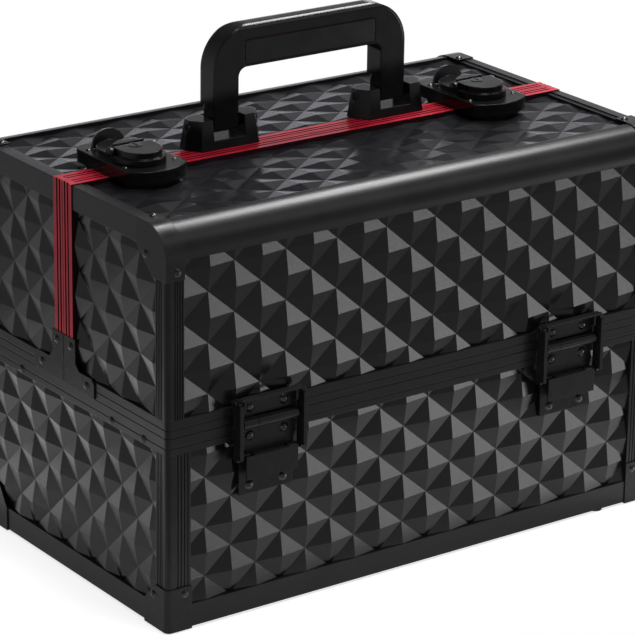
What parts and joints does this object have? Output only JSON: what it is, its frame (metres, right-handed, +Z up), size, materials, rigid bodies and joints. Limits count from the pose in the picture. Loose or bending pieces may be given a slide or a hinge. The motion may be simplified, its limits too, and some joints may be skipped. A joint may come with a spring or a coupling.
{
  "type": "split-lid cosmetic storage case",
  "caption": "Black split-lid cosmetic storage case with diamond-embossed panels, red centre trims, stay hinges, two key latches, folding carry handle and cantilever trays.",
  "frame": {"origin": "centre of the footprint, on the plane under the feet", "axes": "+X along the case's width, -Y the front with the pictured embossed face, +Z up"},
  "size_m": [0.3748, 0.242, 0.327],
  "materials": {
    "laminate": "matte embossed black laminate",
    "felt": "dark lining fabric",
    "black_aluminium": "black anodised, satin",
    "red_aluminium": "red anodised, satin",
    "black_hardware": "black painted steel, satin",
    "arm_steel": "plain steel strip",
    "dark_steel": "blackened steel",
    "black_plastic": "semi-gloss black moulded plastic",
    "tray_plastic": "matte black moulded plastic"
  },
  "bodies": {
    "base": {"base_front_panel": "laminate", "base_rear_panel": "laminate", "base_end_panels": "laminate", "base_floor": "felt", "base_floor_mat": "felt", "base_bottom_rails": "black_aluminium", "base_corner_posts": "black_aluminium", "base_rim": "black_aluminium", "base_corner_caps": "black_hardware", "base_feet": "black_plastic", "base_rivets": "dark_steel", "hinge_lower_leaves": "black_hardware", "hinge_pins": "dark_steel", "stay_guides": "black_hardware", "tray_arm_studs": "dark_steel"},
    "front_lid": {"front_lid_front_panel": "laminate", "front_lid_top_panel": "laminate", "front_lid_end_panels": "laminate", "front_nose_profile": "black_aluminium", "front_end_rails": "black_aluminium", "front_corner_posts": "black_aluminium", "front_lid_rim": "black_aluminium", "front_red_trim": "red_aluminium", "front_end_brackets": "black_hardware", "front_corner_caps": "black_hardware", "front_lid_rivets": "dark_steel", "front_hinge_leaves": "black_hardware", "front_tray_straps": "arm_steel", "latch_bases": "black_hardware"},
    "rear_lid": {"rear_lid_rear_panel": "laminate", "rear_lid_top_panel": "laminate", "rear_lid_end_panels": "laminate", "rear_nose_profile": "black_aluminium", "rear_end_rails": "black_aluminium", "rear_corner_posts": "black_aluminium", "rear_lid_rim": "black_aluminium", "rear_red_trim": "red_aluminium", "rear_end_brackets": "black_hardware", "rear_corner_caps": "black_hardware", "rear_lid_rivets": "dark_steel", "rear_hinge_leaves": "black_hardware", "rear_tray_straps": "arm_steel", "latch_keepers": "black_hardware", "handle_brackets": "black_hardware", "handle_pins": "dark_steel"},
    "front_stay": {"front_stays": "black_hardware"},
    "rear_stay": {"rear_stays": "black_hardware"},
    "handle": {"handle_grip": "black_plastic", "handle_inlays": "black_aluminium"},
    "left_lever": {"left_latch_lever": "black_hardware"},
    "right_lever": {"right_latch_lever": "black_hardware"},
    "left_lock": {"left_lock_cylinder": "dark_steel"},
    "right_lock": {"right_lock_cylinder": "dark_steel"},
    "front_arms": {"front_tray_arms": "arm_steel"},
    "rear_arms": {"rear_tray_arms": "arm_steel"},
    "front_upper_tray": {"front_upper_tray": "tray_plastic"},
    "front_lower_tray": {"front_lower_tray": "tray_plastic"},
    "rear_upper_tray": {"rear_upper_tray": "tray_plastic"},
    "rear_lower_tray": {"rear_lower_tray": "tray_plastic"}
  },
  "joints": [
    {"name": "front_lid_hinge", "type": "hinge", "parent": "base", "child": "front_lid", "pos_m": [0, -0.116, 0.1247], "axis": [1, 0, 0], "range_deg": [0, 90]},
    {"name": "front_stay_pivot", "type": "hinge", "parent": "front_lid", "child": "front_stay", "pos_m": [0, -0.116, 0.1382], "axis": [1, 0, 0], "range_deg": [-70, 0]},
    {"name": "front_arm_pivot", "type": "hinge", "parent": "base", "child": "front_arms", "pos_m": [0, -0.081, 0.1177], "axis": [1, 0, 0], "range_deg": [0, 90]},
    {"name": "front_upper_tray_pivot", "type": "hinge", "parent": "front_arms", "child": "front_upper_tray", "pos_m": [0, -0.024, 0.1747], "axis": [1, 0, 0], "range_deg": [-90, 0]},
    {"name": "front_lower_tray_pivot", "type": "hinge", "parent": "front_arms", "child": "front_lower_tray", "pos_m": [0, -0.0525, 0.1462], "axis": [1, 0, 0], "range_deg": [-90, 0]},
    {"name": "rear_lid_hinge", "type": "hinge", "parent": "base", "child": "rear_lid", "pos_m": [0, 0.116, 0.1247], "axis": [-1, 0, 0], "range_deg": [0, 90]},
    {"name": "rear_stay_pivot", "type": "hinge", "parent": "rear_lid", "child": "rear_stay", "pos_m": [0, 0.116, 0.1382], "axis": [-1, 0, 0], "range_deg": [-70, 0]},
    {"name": "rear_arm_pivot", "type": "hinge", "parent": "base", "child": "rear_arms", "pos_m": [0, 0.081, 0.1177], "axis": [-1, 0, 0], "range_deg": [0, 90]},
    {"name": "rear_upper_tray_pivot", "type": "hinge", "parent": "rear_arms", "child": "rear_upper_tray", "pos_m": [0, 0.024, 0.1747], "axis": [-1, 0, 0], "range_deg": [-90, 0]},
    {"name": "rear_lower_tray_pivot", "type": "hinge", "parent": "rear_arms", "child": "rear_lower_tray", "pos_m": [0, 0.0525, 0.1462], "axis": [-1, 0, 0], "range_deg": [-90, 0]},
    {"name": "handle_fold", "type": "hinge", "parent": "rear_lid", "child": "handle", "pos_m": [-0.0035, 0.01065, 0.2665], "axis": [-1, 0, 0], "range_deg": [0, 85]},
    {"name": "left_lever_lift", "type": "hinge", "parent": "front_lid", "child": "left_lever", "pos_m": [-0.139, -0.0036, 0.2652], "axis": [-1, 0, 0], "range_deg": [0, 70]},
    {"name": "left_lock_turn", "type": "hinge", "parent": "left_lever", "child": "left_lock", "pos_m": [-0.139, -0.0074, 0.265], "axis": [0, 0, -1], "range_deg": [0, 90]},
    {"name": "right_lever_lift", "type": "hinge", "parent": "front_lid", "child": "right_lever", "pos_m": [0.119, -0.0036, 0.2652], "axis": [-1, 0, 0], "range_deg": [0, 70]},
    {"name": "right_lock_turn", "type": "hinge", "parent": "right_lever", "child": "right_lock", "pos_m": [0.119, -0.0074, 0.265], "axis": [0, 0, -1], "range_deg": [0, 90]}
  ],
  "couplings": [
    {"joint": "front_stay_pivot", "follows": "front_lid_hinge", "ratio": -0.74},
    {"joint": "front_arm_pivot", "follows": "front_lid_hinge", "ratio": 1},
    {"joint": "front_upper_tray_pivot", "follows": "front_lid_hinge", "ratio": -1},
    {"joint": "front_lower_tray_pivot", "follows": "front_lid_hinge", "ratio": -1},
    {"joint": "rear_stay_pivot", "follows": "rear_lid_hinge", "ratio": -0.74},
    {"joint": "rear_arm_pivot", "follows": "rear_lid_hinge", "ratio": 1},
    {"joint": "rear_upper_tray_pivot", "follows": "rear_lid_hinge", "ratio": -1},
    {"joint": "rear_lower_tray_pivot", "follows": "rear_lid_hinge", "ratio": -1}
  ]
}
